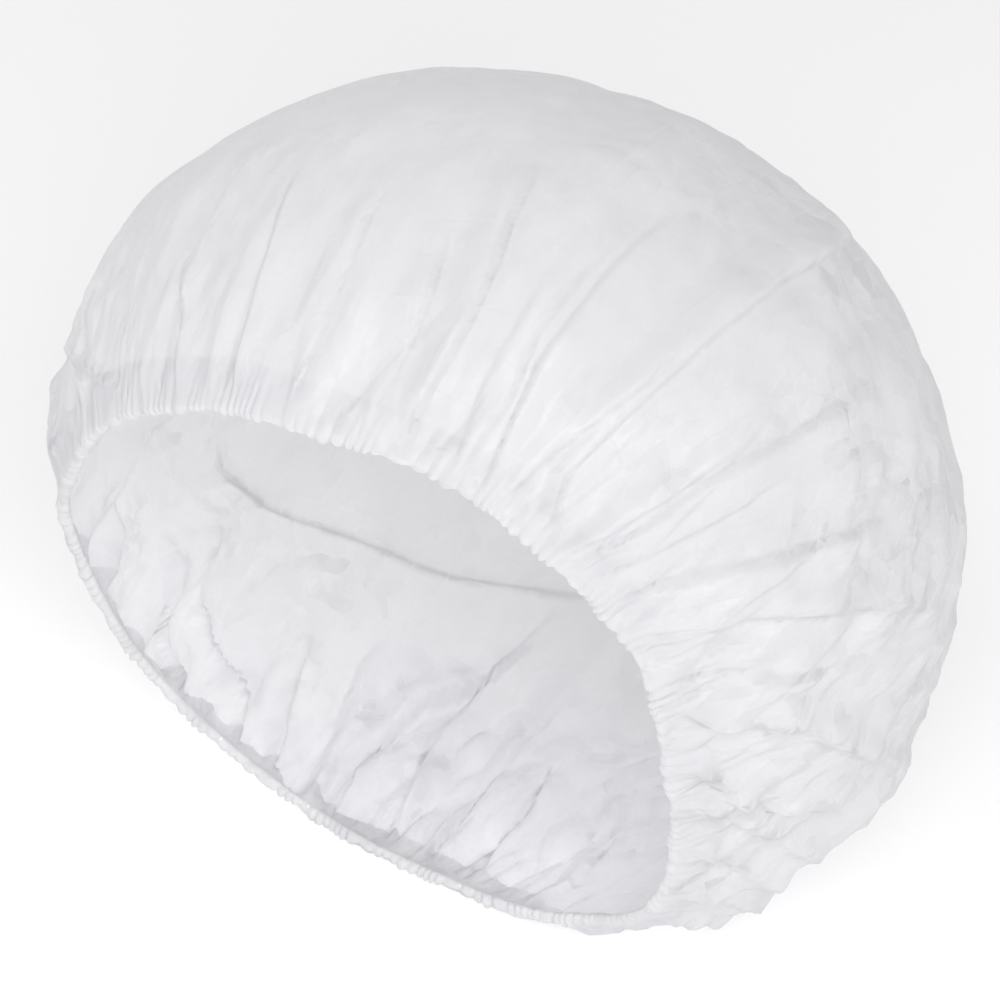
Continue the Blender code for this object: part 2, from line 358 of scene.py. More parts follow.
def film_lengths(columns, shares, level):
    """Film between neighbours: the form's own lengths and the spare film on top."""
    angle, share = np.meshgrid(angles(columns), shares)
    radius, forward, _ = profile(angle, share)
    rise = ease((share - 0.25) / 0.45)
    rim = ease((share - 0.70) / 0.30) ** 1.5
    spare = 1.0 + level["spare"] * rise + (level["spare_hem"] - level["spare"]) * rim
    around = radius * spare * (2.0 * math.pi / columns)
    along = np.hypot(np.diff(radius, axis=0), np.diff(forward, axis=0)) * level["along"]
    return around, along


def settled_film():
    """The film on the finest grid, settled level by level, with its shares."""
    draw = np.random.default_rng(4)
    levels = RING_LEVELS
    columns, rows = FIRST_COLUMNS, FIRST_ROWS
    grid = None
    for level in levels:
        shares = np.linspace(FIRST_SHARE, 1.0, rows)
        rest = form_grid(columns, shares)
        around, along = film_lengths(columns, shares, level)
        around = np.maximum(around, length(beside(rest, 1) - rest))
        along = np.maximum(along, length(rest[1:] - rest[:-1]))
        grid = rest.copy() if grid is None else twice_rows(twice_columns(grid))
        grid[2:-2] += draw.normal(0.0, level["jolt"], grid[2:-2].shape)
        grid = settle(grid, rest, around, along, level)
        moved = length(grid - rest)
        print(columns, "columns", rows, "rows, moved in mm", round(1000 * moved.mean(), 2),
              "most", round(1000 * moved.max(), 2))
        columns, rows = 2 * columns, 2 * rows - 1
    return grid, shares


film, film_shares = settled_film()


# %% [markdown]
# ## A finer grid for the pleats
#
# The settled film is read off on the final rows. Near the crown a coarse ring is enough. The
# front half, where the pleats are, has twice the columns, and the last few millimetres with
# the gathers have twice as many again.

# %% Final rows
CROWN_COLUMNS = 512
FRONT_COLUMNS = 1024
EDGE_COLUMNS = 2048
CROWN_ROWS = 24
FRONT_ROWS = 58
EDGE_ROWS = 4
TURN_ROWS = 6
FRONT_SHARE = 0.42
EDGE_SHARE = 0.972
MILLIMETRE = 0.001


def settled_rows(columns, share):
    """The settled film at any shares, by a cubic through the four nearest rows."""
    grid = film
    while grid.shape[1] < columns:
        grid = twice_columns(grid)
    place = (share - FIRST_SHARE) / (1.0 - FIRST_SHARE) * (grid.shape[0] - 1)
    low = np.clip(np.floor(place).astype(int), 1, grid.shape[0] - 3)
    t = (place - low)[..., None]
    column = np.arange(columns)[None]
    a, b, c, d = (grid[low + step, column] for step in (-1, 0, 1, 2))
    return 0.5 * (2 * b + (c - a) * t + (2 * a - 5 * b + 4 * c - d) * t**2
                  + (3 * b - a - 3 * c + d) * t**3)


crown_shares = np.linspace(FIRST_SHARE, FRONT_SHARE, CROWN_ROWS, endpoint=False)
front_shares = EDGE_SHARE - (EDGE_SHARE - FRONT_SHARE) * np.linspace(1.0, 0.0, FRONT_ROWS) ** 1.15
edge_shares = np.linspace(EDGE_SHARE, 1.0, EDGE_ROWS + 1)[1:]

# %% [markdown]
# ## Pleats
#
# Thin film doesn't bend evenly like cloth. Drawn in along its edge it lies in pleats, each a
# rounded back that starts pointed at the hem, widens, leans over to one side where it meets
# its neighbour in a sharp groove, and runs out on the body. The first table has the ones that
# show in the photograph, as a line of angles and shares. The many small ones between them are
# drawn by chance from a seeded generator.

# %% Pleats seen in the photograph
# line from the hem towards the crown, half width and height in mm, and the sharp side: 1 for
# larger angles, -1 for smaller ones.
# angle, share, half width in degrees, half width along, and how much calmer the film is there.
CALM = [(122, 0.70, 46, 0.80, 0.90), (166, 0.92, 14, 0.12, 0.80), (-46, 0.90, 20, 0.12, 0.55)]


def calmness(angle, share):
    """0 where the film is as it settled, towards 1 where it is drawn smooth."""
    calm = np.zeros_like(angle)
    for middle, way, half, along, amount in CALM:
        bell = (degrees_from(angle, middle) / half) ** 4 + ((share - way) / along) ** 4
        calm += amount * np.exp(-bell)
    return np.clip(calm, 0.0, 1.0)


PLEATS = [
    ([(70, 1.0), (71.5, 0.95), (72.5, 0.87), (74, 0.80), (76.5, 0.72), (78.5, 0.62)], 9.0, 2.6, -1),
    ([(76, 1.0), (77, 0.94), (79, 0.84), (82, 0.76)], 6.0, 1.4, -1),
    ([(63, 1.0), (63.5, 0.91), (65.5, 0.84), (65.5, 0.76), (64, 0.64)], 8.0, 2.0, -1),
    ([(59, 1.0), (61, 0.92), (62, 0.86), (62, 0.73), (60, 0.58)], 7.0, 1.7, 1),
    ([(57, 1.0), (55, 0.91), (52.5, 0.82), (51.5, 0.72)], 5.0, 1.4, -1),
    ([(49, 1.0), (52.5, 0.93), (51.5, 0.83), (50, 0.72), (46.5, 0.58), (36, 0.34)], 9.0, 2.8, -1),
    ([(44.5, 1.0), (40.5, 0.93), (38.5, 0.85), (35, 0.76), (29, 0.60)], 8.0, 2.0, 1),
    ([(46, 1.0), (44, 0.95), (41.5, 0.88), (38.5, 0.76)], 4.5, 1.2, -1),
    ([(41, 1.0), (38, 0.94), (35, 0.86), (32, 0.74)], 5.0, 1.3, -1),
    ([(36, 1.0), (31, 0.91), (27, 0.85), (22.5, 0.78), (15, 0.66)], 8.0, 2.0, 1),
    ([(27, 1.0), (26, 0.93), (20.5, 0.85), (11, 0.75), (-1, 0.66)], 11.0, 3.0, -1),
    ([(21, 1.0), (17.5, 0.94), (12, 0.88), (6, 0.82)], 6.0, 1.6, 1),
    ([(16, 1.0), (10.5, 0.94), (5.5, 0.89), (-2, 0.85), (-18, 0.765), (-24, 0.74)], 12.0, 3.4, -1),
    ([(8, 1.0), (-7, 0.94), (-16.5, 0.85), (-22, 0.77)], 9.0, 2.4, -1),
    ([(0, 1.0), (-12, 0.94), (-22, 0.88), (-34, 0.82)], 8.0, 1.8, -1),
    ([(-12, 1.0), (-20, 0.95), (-32, 0.88), (-44, 0.84)], 8.0, 2.0, -1),
    ([(-24, 1.0), (-33, 0.93), (-42, 0.86), (-50, 0.80)], 8.0, 2.2, -1),
    ([(-36, 1.0), (-44, 0.93), (-52, 0.86), (-58, 0.76)], 9.0, 2.0, -1),
    ([(121, 1.0), (131, 0.97), (144, 0.925), (155, 0.87)], 5.0, 1.2, 1),
    ([(158, 1.0), (160, 0.94), (164, 0.86)], 5.0, 1.0, -1),
    ([(110, 1.0), (112, 0.93), (117, 0.86)], 5.0, 1.2, 1),
    ([(98, 1.0), (99, 0.93), (101, 0.84), (104, 0.74)], 6.0, 1.3, 1),
    ([(88, 1.0), (89, 0.93), (90, 0.84), (92, 0.72)], 6.0, 1.5, -1),
    ([(-129, 1.0), (-131, 0.94), (-137, 0.91), (-147, 0.85), (-151, 0.76)], 8.0, -3.4, 1),
    ([(-140, 1.0), (-150, 0.92), (-158, 0.82)], 7.0, -2.6, -1),
    ([(-165, 1.0), (-164, 0.91), (-169, 0.84), (-172, 0.74)], 8.0, -2.8, 1),
    ([(-116, 1.0), (-117.5, 0.89), (-121, 0.75), (-120, 0.69)], 7.0, -3.0, -1),
    ([(-111, 1.0), (-113, 0.87), (-112, 0.75), (-106, 0.67), (-103, 0.56)], 8.0, -3.4, 1),
    ([(-100, 1.0), (-104, 0.86), (-106, 0.79), (-105, 0.66), (-102, 0.52)], 10.0, -4.0, -1),
    ([(-93, 1.0), (-95, 0.86), (-97, 0.74), (-96, 0.60)], 8.0, -2.4, 1),
    ([(-84, 1.0), (-86, 0.87), (-90, 0.74)], 9.0, -2.8, -1),
    ([(-72, 1.0), (-74, 0.88), (-80, 0.74)], 9.0, -2.4, 1),
    ([(-122, 1.0), (-127, 0.86), (-131, 0.74)], 6.0, -2.2, 1),
]
SOFT_FLANK = 1.4
PLEAT_GAIN = 1.55
SHARP_FLANK = 0.26


def pleat_height(angle, share, radius, line, width, height, side):
    """A rounded back along a line: cosine flank on one side, quarter round on the other."""
    line = np.array(line)[::-1]
    t = (line[-1, 1] - share) / (line[-1, 1] - line[0, 1])
    middle = np.interp(share, line[:, 1], line[:, 0])
    across = side * np.radians(degrees_from(angle - np.radians(middle), 0.0)) * radius
    across = across / (width * MILLIMETRE * (0.30 + 0.70 * ease(2.4 * t)))
    soft = 0.5 + 0.5 * np.cos(math.pi * np.clip(across / SOFT_FLANK, -1.0, 0.0))
    sharp = np.maximum(1.0 - (np.maximum(across, 0.0) / SHARP_FLANK) ** 2, 0.0) ** 0.6
    return height * MILLIMETRE * ease(5.0 * t + 0.1) * ease(3.2 * (1.0 - t)) * soft * sharp


# how many around, half width and height in mm, shares where they end.
SMALL_PLEATS = [(34, 7.0, 1.3, 0.60, 0.84), (80, 3.8, 0.8, 0.80, 0.93)]


def pleats(angle, share, radius):
    """Sum of the seen pleats and the small ones, which are spaced and sized by chance."""
    draw = np.random.default_rng(5)
    total = np.zeros_like(angle)
    small = total.copy()
    for count, width, height, near, far in SMALL_PLEATS:
        start = (np.arange(count) + draw.uniform(-0.4, 0.4, count)) * 360.0 / count
        lean = draw.normal(0.0, 3.5, count)
        end = draw.uniform(near, far, count)
        size = np.exp(draw.normal(0.0, 0.35, count))
        rise = height * size * np.where(draw.random(count) < 0.2, 0.0, 1.0)
        side = np.where(draw.random(count) < 0.5, 1.0, -1.0)
        for k in range(count):
            line = [(start[k], 1.0), (start[k] + 0.4 * lean[k], 0.94), (start[k] + lean[k], end[k])]
            small += pleat_height(angle, share, radius, line, width * size[k], rise[k], side[k])
    for line, width, height, side in PLEATS:
        total += pleat_height(angle, share, radius, line, width, PLEAT_GAIN * height, side)
    return total + (1.0 - 0.8 * calmness(angle, share)) * small


# %% Crumples by chance
# how many, from share, to share, middle angle, half range, length, width and height in mm,
# and how far the heading turns from the fan in degrees.
CRUMPLES = [
    (300, 0.80, 1.00, 0, 180, 7.0, 1.6, 0.35, 14),
    (220, 0.30, 0.90, 0, 180, 12.0, 3.0, 0.40, 60),
    (320, 0.62, 0.98, -20, 44, 9.0, 2.4, 0.55, 60),
    (150, 0.50, 0.98, -120, 62, 14.0, 4.0, 0.70, 45),
    (90, 0.84, 0.98, 148, 22, 7.0, 2.0, 0.45, 50),
    (110, 0.06, 0.32, 0, 180, 20.0, 4.0, 0.60, 90),
]


def tent(distance, one_side, other_side):
    """1 on the ridge, falling straight to 0 over one_side or, for negatives, other_side."""
    flank = np.where(distance > 0.0, one_side, other_side)
    return np.maximum(1.0 - np.abs(distance) / flank, 0.0)


def add_crumple(height, angle, share, radius, at, middle, heading, reach, width, rise):
    """Adds one short tent to the height, inside the window of the grid that it covers."""
    half = reach + width
    rows = np.nonzero(np.abs(share - middle).min(axis=1) * BODY_ARC < half)[0]
    if not len(rows):
        return
    wide = half / max(radius[rows].min(), 0.01)
    columns = np.nonzero(np.abs(degrees_from(angle[0], math.degrees(at))) < math.degrees(wide))[0]
    window = np.ix_(rows, columns)
    side = np.radians(degrees_from(angle[window], math.degrees(at))) * radius[window]
    up = (share[window] - middle) * BODY_ARC
    across = side * math.cos(heading) - up * math.sin(heading)
    along = side * math.sin(heading) + up * math.cos(heading)
    shape = tent(across, width, 1.6 * width) * ease(1.6 * (1.0 - np.abs(along) / reach))
    height[window] += rise * shape


def crumples(angle, share, radius):
    """Sum of the seeded crumples, with lengths and heights spread around the table's."""
    draw = np.random.default_rng(11)
    height = np.zeros_like(angle)
    for count, low, high, centre, half, reach, width, rise, turned in CRUMPLES:
        at = np.radians(centre + draw.uniform(-half, half, count))
        middle = draw.uniform(low, high, count)
        heading = np.radians(turned) * draw.normal(0.0, 1.0, count)
        size = np.exp(draw.normal(0.0, 0.4, count))
        sign = np.where(draw.random(count) < 0.6, 1.0, -1.0)
        for k in range(count):
            add_crumple(height, angle, share, radius, at[k], middle[k], heading[k],
                        reach * size[k] * MILLIMETRE, width * size[k] * MILLIMETRE,
                        rise * size[k] * sign[k] * MILLIMETRE)
    return height


# %% [markdown]
# ## Facets
#
# Between the pleats the film keeps flat facets with sharp edges. Most are the squares that it
# got while it was packed folded, in straight rows across the flat sheet. Others are the
# triangles that film buckles into. Both are lattices whose corners have random heights.

# %% Facets
# cells around, cells from crown to hem, skew, height in mm, from share, to share, patchiness.
BUCKLES = [
    (46, 6, 0.7, 1.7, 0.40, 1.00, 0.15),
    (130, 17, -0.4, 0.8, 0.50, 1.00, 0.40),
]
# cell size in the flat sheet and height, both in mm, and how the rows lie on the sheet.
PACKED = [(17.0, 1.1), (9.0, 0.55)]
PACKED_TURN = math.radians(22.0)
# angle, share, half width in degrees, half width along, and how lively the film is there.
LIVELY = [
    (105, 0.62, 50, 0.34, 0.35), (62, 0.72, 26, 0.24, 0.40), (14, 0.64, 24, 0.20, 1.2),
    (-22, 0.86, 28, 0.16, 1.4), (-120, 0.82, 52, 0.22, 1.1), (-120, 0.50, 60, 0.16, 0.7),
]


def random_field(draw, around, along):
    """Random corner heights of a lattice that closes on itself around the cap."""
    return draw.uniform(-1.0, 1.0, (along + 6, around))


def on_lattice(field, u, v):
    """Height at u, v: each lattice cell is two flat triangles between its corner heights."""
    column, row = np.floor(u).astype(int), np.floor(v).astype(int)
    x, y = u - column, v - row
    count = field.shape[1]
    row = np.clip(row + 2, 0, field.shape[0] - 2)
    a, b = field[row, column % count], field[row, (column + 1) % count]
    c, d = field[row + 1, column % count], field[row + 1, (column + 1) % count]
    near = a + x * (b - a) + y * (c - a)
    far = d + (1.0 - x) * (c - d) + (1.0 - y) * (b - d)
    return np.where(x + y < 1.0, near, far)


def smooth_field(draw, angle, share, around, along):
    """A smooth field from -1 to 1: a lattice read at eased places."""
    u, v = angle / (2.0 * math.pi) * around, share * along
    u = np.floor(u) + ease(u - np.floor(u))
    v = np.floor(v) + ease(v - np.floor(v))
    field = random_field(draw, around, along)
    column, row = np.floor(u).astype(int), np.floor(v).astype(int) + 2
    x, y = u - column, v - row + 2
    row = np.clip(row, 0, field.shape[0] - 2)
    top = (1 - x) * field[row, column % around] + x * field[row, (column + 1) % around]
    low = (1 - x) * field[row + 1, column % around] + x * field[row + 1, (column + 1) % around]
    return (1 - y) * top + y * low


def facets(angle, share):
    """Sum of lattices of flat triangles, each warped so that its edges don't line up."""
    draw = np.random.default_rng(23)
    height = np.zeros_like(angle)
    for around, along, skew, rise, low, high, patchy in BUCKLES:
        bend_u = 0.9 * smooth_field(draw, angle, share, around // 3, max(along // 3, 2))
        bend_v = 0.9 * smooth_field(draw, angle, share, around // 3, max(along // 3, 2))
        u = angle / (2.0 * math.pi) * around + skew * along * share + bend_u
        v = share * along + bend_v
        layer = on_lattice(random_field(draw, around, along), u, v)
        patch = smooth_field(draw, angle, share, around // 4, max(along // 3, 3))
        patch = ease(0.5 + 0.5 * (patch + 0.8 - 1.6 * patchy) / 0.4)
        reach = ease((share - low) / 0.2) * ease((high - share) / 0.03 + 0.5)
        height += rise * MILLIMETRE * patch * reach * layer
    for cell, rise in PACKED:
        cells = int(600.0 / cell)
        x = SHEET_RADIUS * share * np.cos(angle - PACKED_TURN) / MILLIMETRE
        y = SHEET_RADIUS * share * np.sin(angle - PACKED_TURN) / MILLIMETRE
        bend = 2.5 * smooth_field(draw, angle, share, 40, 12)
        layer = on_lattice(random_field(draw, cells, cells),
                           (x + bend) / cell + cells / 2, (y - bend) / cell + cells / 2)
        height += rise * MILLIMETRE * layer
    return height


def liveliness(angle, share):
    """1 in general, and eased to each of the table's values around its place."""
    gain = np.ones_like(angle)
    for middle, at, across, tall, value in LIVELY:
        far = (degrees_from(angle, middle) / across) ** 2 + ((share - at) / tall) ** 2
        gain = gain + (value - gain) * np.exp(-far**2)
    return gain


# %% [markdown]
# ## The flap inside
#
# Through the mouth a fold shows on the far wall: the film doubles over along a curved line
# and hangs like a lip over the crumpled film below it. The film comes forward from above,
# slides down past its own foot and turns back under at the lip.

# %% Flap inside
# angle and share of the lip, from left to right.
LIP = [(-170, 0.60), (-164, 0.66), (-156, 0.70), (-147, 0.68), (-134, 0.62), (-119, 0.575),
       (-108, 0.53), (-98, 0.50), (-80, 0.60)]
LIP_HEIGHT = 0.0028
LIP_SLIDE = 0.0028
LIP_SOFT = 0.030
LIP_SHARP = 0.0020
LIP_ROW = front_shares[18]


def lip_share(angle):
    """Share of the lip's line at any angle."""
    stations = np.array(LIP)
    degrees = degrees_from(angle, -130.0) - 130.0
    shares = np.interp(degrees, stations[1:-1, 0], stations[1:-1, 1])
    away = ease(np.maximum(stations[0, 0] - degrees, degrees - stations[-1, 0]) / 14.0 + 1.0)
    return shares + (LIP_ROW - shares) * away


def along_lip(angle, share):
    """Moves the front's rows so that one of them runs along the lip, in two even stretches."""
    lip = lip_share(angle)
    above = FRONT_SHARE + (share - FRONT_SHARE) * (lip - FRONT_SHARE) / (LIP_ROW - FRONT_SHARE)
    below = EDGE_SHARE - (EDGE_SHARE - share) * (EDGE_SHARE - lip) / (EDGE_SHARE - LIP_ROW)
    return np.where(share <= LIP_ROW, above, below)


def flap_shape(angle, share):
    """1 on the lip, fading over LIP_SOFT above it and dropping over LIP_SHARP below it."""
    degrees = degrees_from(angle, -130.0) - 130.0
    above = (lip_share(angle) - share) * BODY_ARC
    ends = ease((degrees - LIP[1][0]) / 14.0) * ease((LIP[-2][0] + 6.0 - degrees) / 16.0)
    soft = np.exp(-np.maximum(above, 0.0) / LIP_SOFT)
    return ends * soft * ease(1.0 + (above + 1e-6) / LIP_SHARP)


# %% [markdown]
# ## Gathers and hem
#
# The elastic bunches the edge into nearly 200 small gathers. Each has a round back and a
# sharp valley. They die out over the first centimetre of the body. The film runs straight on
# to the edge and is turned over there around the elastic.

# %% Gathers
GATHERS = 196
VALLEY = 0.16
FLOOR_FOLD = 0.9


def gather_wave(angle, slant):
    """Round backs between sharp valleys, with uneven widths and heights.

    The slant shifts the phase, so that a gather runs a little askew over the hem.
    """
    phase = GATHERS * angle / 2 + 2.3 * np.sin(7 * angle + 0.4) + 1.7 * np.sin(17 * angle + 2.0)
    phase = phase + 1.1 * np.sin(37 * angle + 1.1) + slant * np.sin(11 * angle + 0.3)
    uneven = 0.58 + 0.24 * np.sin(23 * angle + 0.7) + 0.18 * np.sin(61 * angle + 2.2)
    return np.abs(np.sin(phase)) ** 0.8 * uneven - VALLEY


def gather_height(angle, share):
    """Gathers on the body. Each dies out over its own length."""
    back = (1.0 - share) * BODY_ARC
    reach = 0.009 + 0.006 * np.sin(19 * angle + 1.0) * np.sin(8 * angle) + 0.002 * np.sin(57 * angle)
    edge = ease(1.0 - (1.0 - share) / 0.004)
    return RUFFLE * np.exp(-back / reach) * gather_wave(angle, 60.0 * back) * (1.0 + 0.3 * edge)


def sheet_places(angle, share):
    """Places on the flat sheet, in metres from its middle."""
    return SHEET_RADIUS * share[..., None] * np.stack([np.cos(angle), np.sin(angle)], axis=-1)


def body_grid(columns, shares, follow_lip=False):
    """The settled film moved along the smooth form's normals by all that is drawn on it.

    Returns the points and the places of the flat sheet that they come from.
    """
    angle, share = np.meshgrid(angles(columns), shares)
    if follow_lip:
        share = along_lip(angle, share)
    radius, _, normal = profile(angle, share)
    out = pleats(angle, share, radius)
    out += liveliness(angle, share) * (crumples(angle, share, radius) + facets(angle, share))
    fade = ease((share - FIRST_SHARE) / 0.1) * (1.0 - ease((share - 0.965) / 0.035))
    flap = flap_shape(angle, share)
    out = (out - LIP_HEIGHT * flap) * fade + gather_height(angle, share)
    downhill = LIP_SLIDE * flap * fade
    straight_out = around_axis(angle, normal[0], normal[1])
    to_hem = around_axis(angle, -normal[1], normal[0])
    keep = ease((share - 0.55) / 0.25) * (1.0 - calmness(angle, share))
    grid = form(angle, share)
    grid = grid + keep[..., None] * (settled_rows(columns, share) - grid)
    grid = grid + out[..., None] * straight_out
    grid = grid + downhill[..., None] * to_hem
    grid = grid + (1.0 + FLOOR_FOLD) * lift_over(grid, 0.0)
    return grid, sheet_places(angle, share), liveliness(angle, share)


# how far back from the edge the hem's inside rows lie and how far inside the film, in mm.
HEM_INSIDE = [(2.0, 2.8), (4.4, 1.9), (7.2, 0.9), (10.0, 0.2)]


def hem_grid(columns):
    """Rows that turn around the elastic and run back inside the film, where they are welded."""
    around = np.repeat(angles(columns)[None], TURN_ROWS, axis=0)
    turn = math.pi * (np.arange(TURN_ROWS) + 1.0)[:, None] / TURN_ROWS
    _, _, normal = profile(around, np.ones_like(around))
    facing = np.arctan2(normal[1], normal[0]) + turn
    reach = HEM_TIGHT + (HEM_RADIUS - HEM_TIGHT) * (1.0 - ease(turn / (math.pi / 2)))
    swing = (1.3 + 0.4 * np.sin(turn)) * np.where(turn > math.pi / 2, np.sin(turn) ** 2, 1.0)
    reach = reach + RUFFLE * swing * gather_wave(around, -0.5 * turn)
    ring = around_axis(around, reach * np.cos(facing), reach * np.sin(facing))
    turned = elastic_line(around)[0] + ring
    back, inside = (np.array(HEM_INSIDE) * MILLIMETRE).T
    points, _, _ = body_grid(columns, 1.0 - back / BODY_ARC)
    angle, share = np.meshgrid(angles(columns), 1.0 - back / BODY_ARC)
    _, _, normal = profile(angle, share)
    welded = points - inside[:, None, None] * around_axis(angle, normal[0], normal[1])
    grid = np.concatenate([turned, welded])
    length = np.concatenate([turn[:, 0] * HEM_RADIUS, math.pi * HEM_RADIUS + back])
    share = np.repeat(1.0 + length[:, None] / SHEET_RADIUS, columns, axis=1)
    grid = grid + lift_over(grid, 0.0)
    places = sheet_places(np.repeat(angles(columns)[None], len(grid), axis=0), share)
    return grid, places, np.ones(share.shape)


grids = [
    body_grid(CROWN_COLUMNS, crown_shares), body_grid(FRONT_COLUMNS, front_shares, True),
    body_grid(EDGE_COLUMNS, edge_shares), hem_grid(EDGE_COLUMNS),
]
print("film grids", [grid[0].shape[:2] for grid in grids])

# %% [markdown]
# ## One mesh from the rows
#
# Where the rows double their columns, each cell is three triangles. A fan of triangles closes
# the middle of the crown. The UV map is the flat sheet itself, in metres: a point's angle and
# its way from the middle. Creases that film gets while it is packed flat are straight lines
# there.

# %% Build the film
def world_points(points):
    """Points of the cap's own frame where the cap lies."""
    return points @ LIE_DOWN.T + CAP_MIDDLE


def ring_faces(first, second, count):
    """Quads between two rings of the same number of vertices, given their first indices."""
    here = np.arange(count)
    after = (here + 1) % count
    return np.stack([first + here, first + after, second + after, second + here], axis=-1)


def join_faces(first, second, count):
    """Triangles between a ring of count vertices and one of twice as many."""
    here = np.arange(count)
    after = (here + 1) % count
    left, middle, right = second + 2 * here, second + 2 * here + 1, second + 2 * after
    return np.concatenate([
        np.stack([first + here, middle, left], axis=-1),
        np.stack([first + here, first + after, middle], axis=-1),
        np.stack([first + after, right, middle], axis=-1),
    ])


def build_film():
    """The film as one mesh, with the flat sheet as its UV map."""
    pole = np.array([0.0, 0.0, -CROWN_DEPTH])
    points, flat, lively = [pole[None]], [np.zeros((1, 2))], [np.ones(1)]
    ring = np.arange(CROWN_COLUMNS)
    faces = np.stack([1 + (ring + 1) % CROWN_COLUMNS, 1 + ring, 0 * ring], axis=-1).tolist()
    first, before, before_columns = 1, None, 0
    for grid, places, gain in grids:
        rows, columns = grid.shape[:2]
        starts = first + np.arange(rows) * columns
        if before_columns == columns:
            faces += ring_faces(before, first, columns).tolist()
        elif before_columns:
            faces += join_faces(before, first, before_columns).tolist()
        for a, b in zip(starts[:-1], starts[1:]):
            faces += ring_faces(a, b, columns).tolist()
        points.append(grid.reshape(-1, 3))
        flat.append(places.reshape(-1, 2))
        lively.append(gain.ravel())
        first, before, before_columns = first + rows * columns, starts[-1], columns
    mesh = bpy.data.meshes.new("film")
    mesh.from_pydata(world_points(np.concatenate(points)), [], faces)
    mesh.update()
    corners = np.empty(len(mesh.loops), np.int32)
    mesh.loops.foreach_get("vertex_index", corners)
    layer = mesh.uv_layers.new(name="flat_sheet")
    layer.data.foreach_set("uv", np.concatenate(flat)[corners].astype(np.float32).ravel())
    layer = mesh.attributes.new("lively", "FLOAT", "POINT")
    layer.data.foreach_set("value", np.concatenate(lively).astype(np.float32))
    mesh.shade_smooth()
    piece = bpy.data.objects.new("film", mesh)
    bpy.context.scene.collection.objects.link(piece)
    return piece


film_piece = build_film()
mesh = film_piece.data
area = np.empty(len(mesh.polygons))
mesh.polygons.foreach_get("area", area)
triangles = sum(len(p.vertices) - 2 for p in mesh.polygons)
print("film: triangles", triangles, "area in m2", round(area.sum(), 4))


# %% [markdown]
# ## The film's finish
#
# The film is milky and satin: some light goes through it and leaves it without a direction,
# and some is mirrored softly from its skin. That is a mix of the Principled shader and the
# Translucent one. Its fine crinkles are too small for the mesh, so the surface's direction
# leans a little there, in patterns laid on the flat sheet: small facets, soft waves, and the
# straight creases of a sheet that was packed folded. A Bump node would do this too, but it
# works each pattern out three times, and the render takes much longer.

# %% Node helpers
def add_node(tree, kind, values=None, **settings):
    """A node with some of its input values and settings."""
    node = tree.nodes.new(kind)
    for name, value in settings.items():
        setattr(node, name, value)
    for name, value in (values or {}).items():
        node.inputs[name].default_value = value
    return node


def maths(tree, operation, first, second=0.0, third=0.0):
    """A Math node on sockets or numbers, and its result."""
    node = add_node(tree, "ShaderNodeMath", operation=operation)
    for slot, value in enumerate((first, second, third)):
        if isinstance(value, (int, float)):
            node.inputs[slot].default_value = value
        else:
            tree.links.new(value, node.inputs[slot])
    return node.outputs[0]


def vector_maths(tree, operation, first, second=None, scale=None):
    """A Vector Math node on sockets or triples, and its result."""
    node = add_node(tree, "ShaderNodeVectorMath", operation=operation)
    tree.links.new(first, node.inputs[0])
    if second is not None and not isinstance(second, tuple):
        tree.links.new(second, node.inputs[1])
    elif second is not None:
        node.inputs[1].default_value = second
    if scale is not None:
        node.inputs["Scale"].default_value = scale
    return node.outputs["Value"] if operation == "LENGTH" else node.outputs["Vector"]


def noise(tree, vector, scale, detail=2.0, roughness=0.5):
    """A Noise Texture at a scale, and its factor."""
    node = add_node(tree, "ShaderNodeTexNoise",
                    {"Scale": scale, "Detail": detail, "Roughness": roughness})
    tree.links.new(vector, node.inputs["Vector"])
    return node


def ranged(tree, value, low, high, out_low=0.0, out_high=1.0):
    """A smooth Map Range from low..high to out_low..out_high."""
    node = add_node(tree, "ShaderNodeMapRange", {
        "From Min": low, "From Max": high, "To Min": out_low, "To Max": out_high,
    }, interpolation_type="SMOOTHSTEP")
    tree.links.new(value, node.inputs["Value"])
    return node.outputs["Result"]


def fresh_material(name):
    """An empty material with its output node."""
    material = bpy.data.materials.new(name)
    material.use_nodes = True
    material.node_tree.nodes.clear()
    output = material.node_tree.nodes.new("ShaderNodeOutputMaterial")
    return material, material.node_tree, output


# %% Film material
# cells for each metre of the flat sheet, how far they tilt, and their form.
TILTS = [(66.0, 0.26, "CHEBYCHEV"), (150.0, 0.28, "EUCLIDEAN"), (330.0, 0.13, "CHEBYCHEV")]


def voronoi(tree, vector, scale, distance):
    """Voronoi cells at a scale: squarish with CHEBYCHEV, many-sided with EUCLIDEAN."""
    node = add_node(tree, "ShaderNodeTexVoronoi", {"Scale": scale, "Randomness": 0.85},
                    feature="F1", distance=distance)
    tree.links.new(vector, node.inputs["Vector"])
    return node


